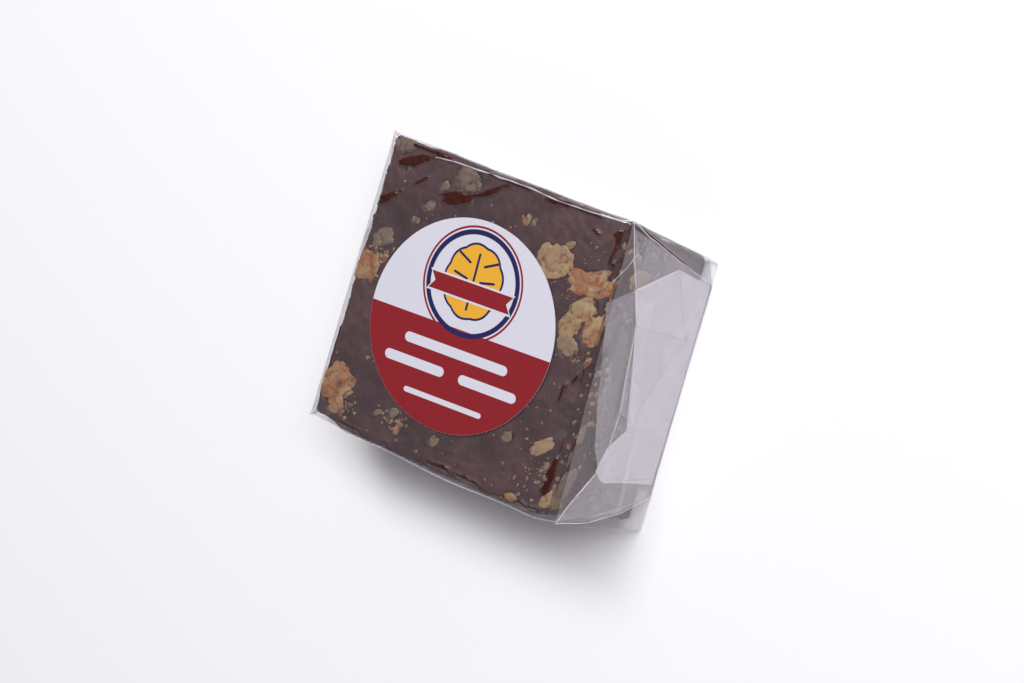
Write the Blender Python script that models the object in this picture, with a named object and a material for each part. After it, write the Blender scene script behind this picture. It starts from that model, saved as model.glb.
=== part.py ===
# Walnut fudge in clear film, lying on its back with the round sticker up.
# Metres, +Z up. X runs along the film tube, from one folded end to the other.
import math

import bmesh
import bpy
from mathutils import Vector

# The wrapped block, measured from the middle of the sticker
TOP_Z = 0.026  # the face that carries the sticker
LEFT_X = -0.0275  # the tight end, level with the top face
RIGHT_X = 0.0298  # the loose end, at the far corner of the top face
NEAR_Y = -0.0284
FAR_Y = 0.0312
FILM_LEAN_LEFT = 0.0034  # how far a folded end stands out where it meets the base
FILM_LEAN_RIGHT = 0.0042
NEAR_CORNER_OUT = 0.0036  # the loose end's near corner stands out further
FAR_SIDE_SLANT = 0.0040  # the far side leans in towards the base
EDGE_RADIUS = 0.0017

# The folded ends: a tapering flap over two tucked ears
FLAP_STEP = 0.0015  # the flap's height over the ears
FLAP_IN_FAR = 0.0097  # how much the flap narrows by the time it meets the base
FLAP_IN_NEAR = 0.0055
CREASE_WIDTH = 0.0009
END_PLEAT = 0.0006  # loose pleats across the flap

# Slack film and lumps
NEAR_BAND_BULGE = 0.0014  # slack film that hangs under the near top edge
NEAR_BAND_Z = 0.0225
NEAR_BAND_WIDTH = 0.0038
EAR_REACH = 0.0027  # the twist of film that pokes out at one corner
EAR_RADIUS = 0.0030
LUMP_HEIGHT = 0.00032

# The round sticker
LABEL_RADIUS = 0.02115
LABEL_THICKNESS = 0.00030
LABEL_GAP = 0.00030
LABEL_SIDES = 72
LABEL_BEVEL = 0.00008

CUTS_X, CUTS_Y, CUTS_Z = 27, 31, 12
EDGE_CROWDING = 0.55  # draws the grid lines in towards the edges, where the film curves

FUDGE_COLOUR = (0.100, 0.060, 0.055)
LABEL_COLOUR = (0.690, 0.680, 0.740)


def clear_scene():
    for obj in list(bpy.data.objects):
        bpy.data.objects.remove(obj, do_unlink=True)


def material(name, colour, roughness):
    made = bpy.data.materials.new(name)
    made.use_nodes = True
    shader = made.node_tree.nodes["Principled BSDF"]
    shader.inputs["Base Color"].default_value = (*colour, 1.0)
    shader.inputs["Roughness"].default_value = roughness
    shader.inputs["Metallic"].default_value = 0.0
    return made


def mix(start, end, share):
    return start + (end - start) * share


def smooth_step(low, high, value):
    share = min(max((value - low) / (high - low), 0.0), 1.0)
    return share * share * (3.0 - 2.0 * share)


def crowded(share):
    """Moves a grid line at -1..1 towards the nearer edge."""
    return mix(share, math.sin(share * math.pi / 2.0), EDGE_CROWDING)


def side_limits(height):
    """The block's four sides (left, right, near, far) at a share 0..1 of its height."""
    down = 1.0 - height
    left = LEFT_X - FILM_LEAN_LEFT * down
    right = RIGHT_X + FILM_LEAN_RIGHT * down
    far = FAR_Y - FAR_SIDE_SLANT * down
    return left, right, NEAR_Y, far


def rounded(point, half):
    """Pulls a point of the box's surface in, so that the edges are round."""
    inner = Vector(
        max(-size + EDGE_RADIUS, min(size - EDGE_RADIUS, value)) for value, size in zip(point, half)
    )
    outward = point - inner
    if outward.length < 1e-9:
        return point
    return inner + outward.normalized() * EDGE_RADIUS


def lumps(x, y, z):
    """Gentle unevenness, as wide as the nuts and cuts under the film."""
    wave = math.sin(310.0 * x + 1.3) * math.sin(270.0 * y + 0.4)
    ripple = math.sin(620.0 * x - 410.0 * z + 2.1) * math.cos(540.0 * y + 380.0 * z)
    return LUMP_HEIGHT * (0.65 * wave + 0.35 * ripple)


def flap_cover(y, height):
    """1 on an end's flap and 0 on the ears beside it."""
    down = 1.0 - height
    far_crease = FAR_Y - FLAP_IN_FAR * down
    near_crease = NEAR_Y + FLAP_IN_NEAR * down
    inside_far = smooth_step(-CREASE_WIDTH, CREASE_WIDTH, far_crease - y)
    inside_near = smooth_step(-CREASE_WIDTH, CREASE_WIDTH, y - near_crease)
    return inside_far * inside_near


def end_relief(y, height, turn):
    """How far the folded film of an end stands out from its slanting plane."""
    cover = flap_cover(y, height)
    pleat = math.sin(230.0 * y + 5.0 * height + turn) * math.sin(math.pi * height)
    return FLAP_STEP * (cover - 0.5) + END_PLEAT * pleat * cover


def wrapped_point(share):
    """The place in metres of a point of the cube from -1 to 1."""
    a, b, c = (crowded(value) for value in share)
    half = Vector(((RIGHT_X - LEFT_X) / 2.0, (FAR_Y - NEAR_Y) / 2.0, TOP_Z / 2.0))
    boxed = rounded(Vector((a * half.x, b * half.y, c * half.z)), half)
    across, along = boxed.x / half.x, boxed.y / half.y
    height = (boxed.z / half.z + 1.0) / 2.0
    left, right, near, far = side_limits(height)
    right += NEAR_CORNER_OUT * smooth_step(1.0, -1.0, along)
    x = mix(left, right, (across + 1.0) / 2.0)
    y = mix(near, far, (along + 1.0) / 2.0)
    z = height * TOP_Z

    at_end = smooth_step(0.90, 1.0, abs(across))
    relief = end_relief(y, height, 0.6 if across > 0 else 2.4)
    x += math.copysign(at_end * relief, across)

    at_near = smooth_step(-0.90, -1.0, along)
    band = math.exp(-(((z - NEAR_BAND_Z) / NEAR_BAND_WIDTH) ** 2))
    y -= at_near * NEAR_BAND_BULGE * band * (0.8 + 0.2 * math.sin(190.0 * x))
    at_far = smooth_step(0.90, 1.0, along)
    y += at_far * lumps(x, 0.0, z)

    reach = Vector((x - LEFT_X, y - NEAR_Y, z - NEAR_BAND_Z)).length
    poke = EAR_REACH * math.exp(-((reach / EAR_RADIUS) ** 2))
    x -= poke
    y -= 0.7 * poke

    from_label = math.hypot(x, y)
    clear_of_label = smooth_step(LABEL_RADIUS + 0.0003, LABEL_RADIUS + 0.003, from_label)
    on_top = smooth_step(0.93, 1.0, height)
    z += on_top * clear_of_label * lumps(x, y, 0.0)
    return Vector((x, y, z))


def grid_cube(cuts):
    """A cube from -1 to 1 with its faces cut into a grid, a count of cuts for each axis."""
    mesh = bmesh.new()
    bmesh.ops.create_cube(mesh, size=2.0)
    for axis, count in enumerate(cuts):
        along = [
            edge
            for edge in mesh.edges
            if abs((edge.verts[0].co - edge.verts[1].co)[axis]) > 1.0
        ]
        bmesh.ops.subdivide_edges(mesh, edges=along, cuts=count, use_grid_fill=True)
    return mesh


def add_object(name, mesh, look):
    bmesh.ops.triangulate(mesh, faces=mesh.faces[:])
    bmesh.ops.recalc_face_normals(mesh, faces=mesh.faces[:])
    data = bpy.data.meshes.new(name)
    mesh.to_mesh(data)
    mesh.free()
    data.materials.append(look)
    data.shade_smooth()
    data.set_sharp_from_angle(angle=math.radians(35.0))
    obj = bpy.data.objects.new(name, data)
    bpy.context.scene.collection.objects.link(obj)
    return obj


def wrapped_fudge():
    mesh = grid_cube((CUTS_X, CUTS_Y, CUTS_Z))
    for vertex in mesh.verts:
        vertex.co = wrapped_point(vertex.co)
    return add_object("wrapped_fudge", mesh, material("fudge_under_film", FUDGE_COLOUR, 0.45))


def label():
    mesh = bmesh.new()
    bmesh.ops.create_cone(
        mesh,
        cap_ends=True,
        segments=LABEL_SIDES,
        radius1=LABEL_RADIUS,
        radius2=LABEL_RADIUS,
        depth=LABEL_THICKNESS,
    )
    rim = [edge for edge in mesh.edges if abs(edge.verts[0].co.z - edge.verts[1].co.z) < 1e-9]
    bmesh.ops.bevel(mesh, geom=rim, offset=LABEL_BEVEL, segments=1, affect="EDGES")
    lift = TOP_Z + LABEL_GAP + LABEL_THICKNESS / 2.0
    bmesh.ops.translate(mesh, verts=mesh.verts[:], vec=(0.0, 0.0, lift))
    return add_object("label", mesh, material("sticker_paper", LABEL_COLOUR, 0.35))


def centre_over_base(objects):
    """Moves the meshes so that the origin is the middle of the base."""
    points = [vertex.co for obj in objects for vertex in obj.data.vertices]
    middle_x = (min(p.x for p in points) + max(p.x for p in points)) / 2.0
    middle_y = (min(p.y for p in points) + max(p.y for p in points)) / 2.0
    for obj in objects:
        for vertex in obj.data.vertices:
            vertex.co -= Vector((middle_x, middle_y, 0.0))


clear_scene()
centre_over_base([wrapped_fudge(), label()])
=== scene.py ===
import math
import random

import bmesh
import bpy
from mathutils import Matrix, Vector, geometry, noise


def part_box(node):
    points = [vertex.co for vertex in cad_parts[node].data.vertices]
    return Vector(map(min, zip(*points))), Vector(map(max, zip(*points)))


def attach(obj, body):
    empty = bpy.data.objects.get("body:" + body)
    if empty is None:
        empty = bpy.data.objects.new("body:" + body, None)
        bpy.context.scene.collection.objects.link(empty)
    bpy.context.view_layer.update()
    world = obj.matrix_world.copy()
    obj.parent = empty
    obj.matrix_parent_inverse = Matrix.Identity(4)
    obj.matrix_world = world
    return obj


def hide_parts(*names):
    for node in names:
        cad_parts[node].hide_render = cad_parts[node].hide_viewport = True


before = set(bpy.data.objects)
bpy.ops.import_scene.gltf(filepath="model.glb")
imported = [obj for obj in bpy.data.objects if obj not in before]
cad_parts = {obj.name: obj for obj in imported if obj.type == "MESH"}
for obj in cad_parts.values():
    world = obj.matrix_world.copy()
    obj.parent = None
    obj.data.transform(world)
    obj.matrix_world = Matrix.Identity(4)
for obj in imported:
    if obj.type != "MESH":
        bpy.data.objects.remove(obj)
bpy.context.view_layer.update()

# Everything is laid out in millimetres from the middle of the sticker, z up from the base.
mm = 0.001
labelLow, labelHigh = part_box("label")
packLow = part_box("wrapped_fudge")[0]
labelCentre = (labelLow + labelHigh) / 2
filmTop = 26.0       # height of the broad face
faceWidth = 59.0     # from the near side to the far side


def mix(start, end, share):
    return start + (end - start) * share


# the loose end's shoulder: the block's top edge there is worn down, and the film slopes over it
shoulder = dict(farX=29.9, nearX=33.3, farY=31.2, nearY=-28.8, depth=2.4, width=4.6)


def at(x, y, z):
    # the place in metres of a point of the layout
    share = (shoulder["farY"] - y) / (shoulder["farY"] - shoulder["nearY"])
    edgeX = mix(shoulder["farX"], shoulder["nearX"], share)
    reach = math.hypot(max(edgeX - x, 0.0), max(filmTop - z, 0.0))
    drop = shoulder["depth"] * 0.7 * math.exp(-(reach / shoulder["width"]) ** 2)
    return Vector((labelCentre.x + (x - drop) * mm, labelCentre.y + y * mm, packLow.z + (z - drop) * mm))


def smoothStep(low, high, value):
    share = min(max((value - low) / (high - low), 0.0), 1.0)
    return share * share * (3 - 2 * share)


def wobble(x, y, z, size, seed=0.0):
    return noise.noise(Vector((x / size + seed, y / size - seed, z / size + 2 * seed)))


def turned(degrees, axis):
    return Matrix.Rotation(math.radians(degrees), 3, axis)


def addMesh(name, verts, faces, material, smooth=True):
    data = bpy.data.meshes.new(name)
    data.from_pydata(verts, [], faces)
    data.materials.append(material)
    if smooth:
        data.shade_smooth()
    piece = bpy.data.objects.new(name, data)
    bpy.context.scene.collection.objects.link(piece)
    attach(piece, "root")
    return piece


def gridFaces(rows, across, ring=False, first=0):
    # the quads between rows of points, closed round each row when it is a ring
    faces = []
    for row in range(rows):
        for step in range(across if ring else across - 1):
            a, b = (first + row * across + place for place in (step, (step + 1) % across))
            faces.append((a, b, b + across, a + across))
    return faces


def setAttribute(piece, name, values):
    layer = piece.data.attributes.new(name, "FLOAT", "POINT")
    layer.data.foreach_set("value", values)


class Graph:
    # one node tree, with short ways to add the usual nodes
    def __init__(self, tree):
        self.nodes = tree.nodes
        self.links = tree.links

    def add(self, kind, **values):
        node = self.nodes.new(kind)
        for key, value in values.items():
            if key in node.inputs:
                node.inputs[key].default_value = value
            else:
                setattr(node, key, value)
        return node

    def feed(self, socket, value):
        # a number or a colour is set on the socket itself, and another node's output is joined to it
        if isinstance(value, (int, float)):
            socket.default_value = value
        elif isinstance(value, tuple):
            socket.default_value = (*value, 1.0)
        elif value is not None:
            self.links.new(value, socket)

    def calc(self, operation, first, second=None):
        node = self.add("ShaderNodeMath", operation=operation)
        self.feed(node.inputs[0], first)
        self.feed(node.inputs[1], second)
        return node.outputs[0]

    def swing(self, value, size):
        # a value from 0 to 1 as a swing about nought
        return self.calc("MULTIPLY", self.calc("SUBTRACT", value, 0.5), size)

    def mix(self, share, first, second, blend="MIX"):
        node = self.add("ShaderNodeMix", data_type="RGBA", blend_type=blend)
        for number, value in ((0, share), (6, first), (7, second)):
            self.feed(node.inputs[number], value)
        return node.outputs[2]

    def ramp(self, value, fromLow, fromHigh, toLow=0.0, toHigh=1.0):
        node = self.nodes.new("ShaderNodeMapRange")
        names = ("Value", "From Min", "From Max", "To Min", "To Max")
        for name, limit in zip(names, (value, fromLow, fromHigh, toLow, toHigh)):
            self.feed(node.inputs[name], limit)
        return node.outputs["Result"]

    def attribute(self, name):
        return self.add("ShaderNodeAttribute", attribute_name=name).outputs["Fac"]

    def group(self, tree, *values):
        # a node group's own node, with the values for its inputs in their order
        node = self.add("ShaderNodeGroup", node_tree=tree)
        for socket, value in zip(node.inputs, values):
            socket.default_value = value
        return node

    def bump(self, shader, height, strength, distance):
        node = self.add("ShaderNodeBump", Strength=strength, Distance=distance)
        self.feed(node.inputs["Height"], height)
        self.feed(shader.inputs["Normal"], node.outputs["Normal"])

    def blend(self, share, first, second):
        # one shader over another
        node = self.nodes.new("ShaderNodeMixShader")
        self.feed(node.inputs[0], share)
        self.feed(node.inputs[1], first.outputs[0])
        self.feed(node.inputs[2], second.outputs[0])
        return node


def newMaterial(name):
    material = bpy.data.materials.new(name)
    material.use_nodes = True
    nodes = material.node_tree.nodes
    return material, Graph(material.node_tree), nodes["Principled BSDF"], nodes["Material Output"]


def newGroup(name, inputs, outputs):
    # the inputs are plain values, and each output has its kind of socket
    tree = bpy.data.node_groups.new(name, "ShaderNodeTree")
    for title in inputs:
        tree.interface.new_socket(title, in_out="INPUT", socket_type="NodeSocketFloat")
    for title, kind in outputs.items():
        tree.interface.new_socket(title, in_out="OUTPUT", socket_type=kind)
    graph = Graph(tree)
    return tree, graph, graph.nodes.new("NodeGroupInput"), graph.nodes.new("NodeGroupOutput")


def makeGrainGroup():
    # coarse and fine grain from object coordinates, used by the fudge, the nuts and the paper
    value = "NodeSocketFloat"
    tree, graph, enter, leave = newGroup(
        "foodGrain", ("Coarse Scale", "Fine Scale"), dict(Coarse=value, Fine=value, Speck=value))
    place = graph.nodes.new("ShaderNodeTexCoord")
    coarse = graph.add("ShaderNodeTexNoise", Detail=4.0, Roughness=0.6)
    fine = graph.add("ShaderNodeTexNoise", Detail=3.0, Roughness=0.65)
    speck = graph.add("ShaderNodeTexVoronoi", Randomness=1.0)
    for texture, scale in ((coarse, "Coarse Scale"), (fine, "Fine Scale"), (speck, "Fine Scale")):
        graph.feed(texture.inputs["Vector"], place.outputs["Object"])
        graph.feed(texture.inputs["Scale"], enter.outputs[scale])
    graph.feed(leave.inputs["Coarse"], coarse.outputs["Fac"])
    graph.feed(leave.inputs["Fine"], fine.outputs["Fac"])
    graph.feed(leave.inputs["Speck"], speck.outputs["Distance"])
    return tree


def makeCrinkleGroup():
    # the fine crinkles of the film, as a bent normal
    tree, graph, enter, leave = newGroup("filmCrinkle", ("Strength",), dict(Normal="NodeSocketVector"))
    place = graph.nodes.new("ShaderNodeTexCoord")
    fold = graph.add("ShaderNodeTexNoise", Scale=130.0, Detail=3.0, Roughness=0.55, Distortion=1.4)
    bump = graph.add("ShaderNodeBump", Distance=0.0006)
    graph.feed(fold.inputs["Vector"], place.outputs["Object"])
    graph.feed(bump.inputs["Strength"], enter.outputs["Strength"])
    graph.feed(bump.inputs["Height"], fold.outputs["Fac"])
    graph.feed(leave.inputs["Normal"], bump.outputs["Normal"])
    return tree


grainGroup = makeGrainGroup()
crinkleGroup = makeCrinkleGroup()


fudge = dict(
    top=25.62, ceiling=25.99, base=0.30, left=-27.35, near=-27.9, far=30.7,
    rightMiddle=29.6, rightSlant=-0.021, rightLean=4.8,   # the cut end runs slightly askew
    farSlant=4.7, edgeRadius=1.1, clingHeight=26.10, pocketDepth=0.95,
    nearBulge=1.6, bulgeHeight=23.2, bulgeWidth=2.6,
    counts=(132, 136, 50),
    lump=0.17, drag=0.20, grain=0.06,
)

# where the film clings and wets the fudge: x, y, length, width, angle
smears = [
    (-21.3, 27.0, 7.5, 1.9, 24), (-24.6, 18.4, 6.2, 1.7, 43), (-18.8, 23.4, 5.0, 0.6, 41),
    (-9.8, 23.0, 7.0, 2.4, 20), (-3.2, 26.4, 8.5, 1.2, 31), (0.6, 28.9, 2.6, 1.0, 20),
    (-16.4, -28.2, 7.5, 1.3, 2), (-8.6, -28.1, 6.0, 0.9, 2), (4.4, -27.4, 6.5, 1.1, -4),
    (11.5, -27.6, 6.0, 1.2, 0), (22.5, -27.9, 16.0, 1.4, 0),
    (28.1, 27.6, 4.0, 2.8, 70), (27.6, 24.6, 4.2, 1.2, 80), (29.0, 23.0, 3.0, 0.8, 60),
    (29.2, -19.8, 10.4, 2.7, 80), (27.8, -0.6, 3.6, 0.9, 66), (25.4, -4.6, 4.6, 0.7, 84),
    (22.1, 26.9, 2.0, 0.9, -10), (12.0, 29.4, 7.0, 0.8, 2), (-14.0, 29.6, 5.0, 0.7, 8),
]
farSideSmears = [(-5.0, 6.5), (12.5, 22.0), (-24.0, -15.0)]   # x spans on the far side
scratches = [   # shallow knife drags: x, y, length, angle
    (8.0, 26.0, 9.0, 8), (-18.0, 12.0, 7.0, 60), (-20.0, -8.0, 9.0, 75), (22.5, -8.5, 9.0, 62),
    (10.0, -24.0, 12.0, 4), (-16.0, -18.0, 8.0, -50), (20.0, 24.2, 7.0, -14), (27.0, -7.5, 9.0, 84),
]
crack = dict(
    points=[(29.6, 25.2), (29.0, 23.4), (28.4, 22.6), (28.5, 21.2), (27.6, 20.2)], width=0.45, depth=1.3,
)

# walnut pieces in the broad face: kind, x, y, length, width, angle, brown skin, grey smear, sink
nuts = [
    ("walnut", 25.0, 17.2, 11.6, 5.4, 8, 0.80, 0.0, 0.0),
    ("walnut", 24.6, 12.0, 6.8, 5.0, 52, 0.42, 0.0, 0.1),
    ("walnut", 22.6, 8.2, 6.0, 5.0, 70, 0.25, 0.1, 0.0),
    ("walnut", 28.3, 9.0, 6.6, 5.4, 62, 0.55, 0.0, 0.1),
    ("walnut", 23.4, 4.5, 5.6, 4.4, -20, 0.50, 0.55, 0.2),
    ("walnut", 15.0, 19.0, 8.4, 6.2, 18, 0.30, 0.1, 0.0),
    ("walnut", 17.4, 22.6, 3.0, 1.6, 40, 0.15, 0.5, 0.1),
    ("bar", 24.7, -15.7, 5.8, 2.7, 37, 0.05, 0.1, 0.0),
    ("walnut", -24.0, -20.6, 8.8, 8.0, 80, 0.66, 0.1, 0.0),
    ("walnut", -22.6, -25.2, 4.4, 2.4, 10, 0.10, 0.3, 0.1),
    ("walnut", -25.0, 4.2, 6.8, 5.4, 74, 0.62, 0.15, 0.0),
    ("walnut", -23.1, 10.3, 4.8, 3.8, 20, 0.30, 0.9, 0.1),
    ("walnut", -21.7, 6.6, 2.8, 1.6, 60, 0.55, 0.2, 0.1),
    ("walnut", -8.2, 27.4, 6.4, 4.6, 0, 0.25, 0.95, 0.3),
    ("walnut", -24.6, 29.4, 4.6, 3.2, 30, 0.30, 0.9, 0.1),
    ("walnut", -15.0, 19.9, 2.8, 2.3, 60, 0.15, 0.95, 0.1),
    ("walnut", -17.2, 16.0, 2.2, 1.6, 10, 0.40, 0.7, 0.1),
    ("walnut", -12.9, 24.5, 2.4, 1.8, 80, 0.2, 0.9, 0.1),
    ("walnut", -22.4, 24.7, 2.0, 1.2, 70, 0.2, 0.9, 0.1),
    ("walnut", 6.7, 24.2, 2.8, 1.7, 80, 0.45, 0.3, 0.1),
    ("walnut", 8.6, 24.3, 1.7, 1.3, 70, 0.15, 0.8, 0.1),
    ("walnut", 16.6, -16.6, 2.6, 2.4, 0, 0.2, 0.9, 0.1),
    ("walnut", 1.2, -23.4, 2.6, 2.2, 50, 0.3, 0.8, 0.1),
    ("walnut", -9.4, -21.4, 2.6, 1.9, 60, 0.2, 0.9, 0.1),
    ("walnut", -7.4, -24.0, 3.0, 1.6, 70, 0.6, 0.2, 0.1),
    ("walnut", -13.0, -22.6, 2.2, 1.4, 30, 0.2, 0.9, 0.1),
    ("walnut", 26.8, -19.0, 2.2, 1.8, 20, 0.1, 0.6, 0.1),
    ("walnut", 30.2, -25.0, 5.4, 3.4, 20, 0.60, 0.2, 0.1),
    ("walnut", 21.0, -27.2, 3.0, 1.6, 0, 0.55, 0.2, 0.1),
    ("walnut", 29.0, 2.6, 2.6, 1.2, 70, 0.6, 0.2, 0.1),
]
# pieces that show in the cut end: y, z, length, width, angle in the end's plane, skin, grey
endNuts = [
    (-14.0, 22.6, 8.6, 2.6, 82, 0.25, 1.0), (-21.8, 22.6, 6.8, 3.2, 75, 0.15, 1.0),
    (-25.6, 23.6, 3.4, 2.8, 0, 0.10, 0.8), (8.0, 12.0, 7.0, 5.0, 30, 0.6, 0.2),
    (20.0, 18.0, 6.0, 4.0, 0, 0.4, 0.4), (-6.0, 8.0, 6.0, 4.5, 40, 0.5, 0.3),
]
# pieces in the other sides: place along the side, height (on the base, depth), length, width, skin, grey
sideNuts = dict(
    near=[(-19.0, 17.0, 7.6, 5.0, 0.6, 0.2), (-12.4, 14.0, 4.6, 3.6, 0.3, 0.3),
          (2.0, 8.0, 9.0, 5.6, 0.7, 0.1), (9.0, 13.6, 4.2, 3.0, 0.2, 0.6), (19.0, 15.5, 6.4, 4.6, 0.4, 0.2),
          (24.0, 6.0, 4.4, 3.0, 0.3, 0.7), (-6.0, 19.5, 2.6, 2.0, 0.3, 0.8),
          (-22.0, 5.0, 5.0, 3.8, 0.2, 0.5)],
    far=[(-20.0, 9.0, 6.6, 4.8, 0.6, 0.2), (-8.0, 15.0, 8.0, 5.0, 0.5, 0.2), (6.0, 7.0, 5.0, 3.8, 0.3, 0.5),
         (17.0, 14.0, 6.4, 4.0, 0.6, 0.2), (23.0, 5.0, 3.6, 3.0, 0.2, 0.8)],
    left=[(-16.0, 13.0, 7.4, 5.2, 0.6, 0.2), (-4.0, 7.0, 4.6, 3.4, 0.3, 0.4), (9.0, 16.0, 8.6, 5.2, 0.5, 0.2),
          (20.0, 9.0, 5.0, 3.6, 0.3, 0.6)],
    base=[(-18.0, -14.0, 9.0, 6.0, 0.6, 0.2), (-4.0, 12.0, 7.0, 5.4, 0.4, 0.2),
          (14.0, -6.0, 10.0, 6.4, 0.6, 0.1), (20.0, 16.0, 5.4, 4.0, 0.3, 0.5),
          (2.0, -20.0, 5.0, 4.2, 0.2, 0.4)],
)


def farFace(z):
    return fudge["far"] - fudge["farSlant"] * (1 - z / filmTop)


def sidePlace(side, along, up):
    places = dict(near=(along, fudge["near"] + 0.3, up), far=(along, farFace(up) - 0.3, up),
                  left=(fudge["left"] + 0.3, along, up), base=(along, up, fudge["base"] + 0.4))
    return Vector(places[side])


def pressTo(value, face, side):
    # flattens what would stand out of a face, which looks towards side
    over = (value - face) * side
    return face + side * 0.35 * math.tanh(over / 0.9) if over > 0 else value


def pressNear(point):
    point.y = pressTo(point.y, fudge["near"] - 0.05 + 0.3 * nutRelief(point.x, point.z, 4.0), -1)
    return point


def pressFar(point):
    point.y = pressTo(point.y, farFace(point.z) + 0.02 - 0.3 * nutRelief(point.x, point.z, 8.0), 1)
    return point


def pressLeft(point):
    point.x = pressTo(point.x, fudge["left"] - 0.05 + 0.3 * nutRelief(point.y, point.z, 6.0), -1)
    return point


def pressBase(point):
    point.z = max(pressTo(point.z, fudge["base"] + 0.1, -1), 0.14)
    return point


sideLimits = dict(near=pressNear, far=pressFar, left=pressLeft, base=pressBase)


def nearLine(x, y, centreX, centreY, length, width, angle):
    # 1 on the middle of a stroke, 0 at its edge and beyond
    turn = math.radians(angle)
    along = (x - centreX) * math.cos(turn) + (y - centreY) * math.sin(turn)
    across = (y - centreY) * math.cos(turn) - (x - centreX) * math.sin(turn)
    return 1.0 - math.hypot(along / (length / 2), across / (width / 2))


def fudgeRight(y, z=filmTop):
    return fudge["rightMiddle"] + fudge["rightSlant"] * y + fudge["rightLean"] * (1 - z / filmTop)


def latticeBox(counts):
    # the six faces of a cube from -1 to 1 as one shared grid
    index, shares, quads = {}, [], []

    def corner(key):
        if key not in index:
            index[key] = len(shares)
            shares.append(tuple(2 * value / count - 1 for value, count in zip(key, counts)))
        return index[key]

    for axis in range(3):
        first, second = [a for a in range(3) if a != axis]
        for side in (0, counts[axis]):
            for i in range(counts[first]):
                for j in range(counts[second]):
                    ring = []
                    for di, dj in ((0, 0), (1, 0), (1, 1), (0, 1)):
                        key = [0, 0, 0]
                        key[axis], key[first], key[second] = side, i + di, j + dj
                        ring.append(corner(tuple(key)))
                    outward = (side > 0) == (axis != 1)
                    quads.append(ring if outward else ring[::-1])
    return shares, quads


def nutCover(x, y, margin=-0.1):
    # how far a place on the broad face lies inside the nearest nut's pocket
    best = -1.0
    for kind, nutX, nutY, length, width, angle, skin, grey, sink in nuts:
        best = max(best, nearLine(x, y, nutX, nutY, length + margin, width + margin, angle))
    return best


def topHollow(x, y, z):
    # how deep the knife drags, the crack and the pits cut into the broad face
    hollow = 0.0
    for lineX, lineY, length, angle in scratches:
        mark = nearLine(x, y, lineX, lineY, length, 0.9, angle)
        if mark > 0:
            hollow += 0.10 * smoothStep(0, 0.6, mark) * (0.6 + wobble(x, y, z, 1.2, 4.0))
    for (x0, y0), (x1, y1) in zip(crack["points"], crack["points"][1:]):
        span = math.hypot(x1 - x0, y1 - y0)
        turn = math.degrees(math.atan2(y1 - y0, x1 - x0))
        mark = nearLine(x, y, (x0 + x1) / 2, (y0 + y1) / 2, span * 1.5, crack["width"] * 2, turn)
        hollow += crack["depth"] * smoothStep(0, 0.7, mark) * 0.6
    pit = noise.voronoi(Vector((x / 2.6, y / 2.6, 0.3)))[0][0]
    return hollow + 0.22 * smoothStep(0.16, 0.03, pit) * smoothStep(-0.1, 0.5, wobble(x, y, 0, 11.0, 5.5))


def wetnessAt(x, y, z, outward):
    # above nought where the film clings and wets the fudge
    wetness = -1.0
    if outward.z > 0.2:
        for smear in smears:
            wetness = max(wetness, nearLine(x, y, *smear))
    if outward.y > 0.3 or (outward.z > 0.1 and y > 29.4):
        high = smoothStep(6, 14, z + 3 * wobble(x, 0, z, 4.0))
        for start, end in farSideSmears:
            wetness = max(wetness, min(x - start, end - x) * 0.4 * high)
    if abs(outward.x) > 0.3:
        wetness = max(wetness, 1.5 * wobble(x, y, z * 0.4, 5.0, 4.2) - 0.25)
    if outward.y < -0.3:
        wetness = max(wetness, 1.3 * wobble(x, 0, z, 7.0, 2.2) - 0.2)
    return wetness


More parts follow.
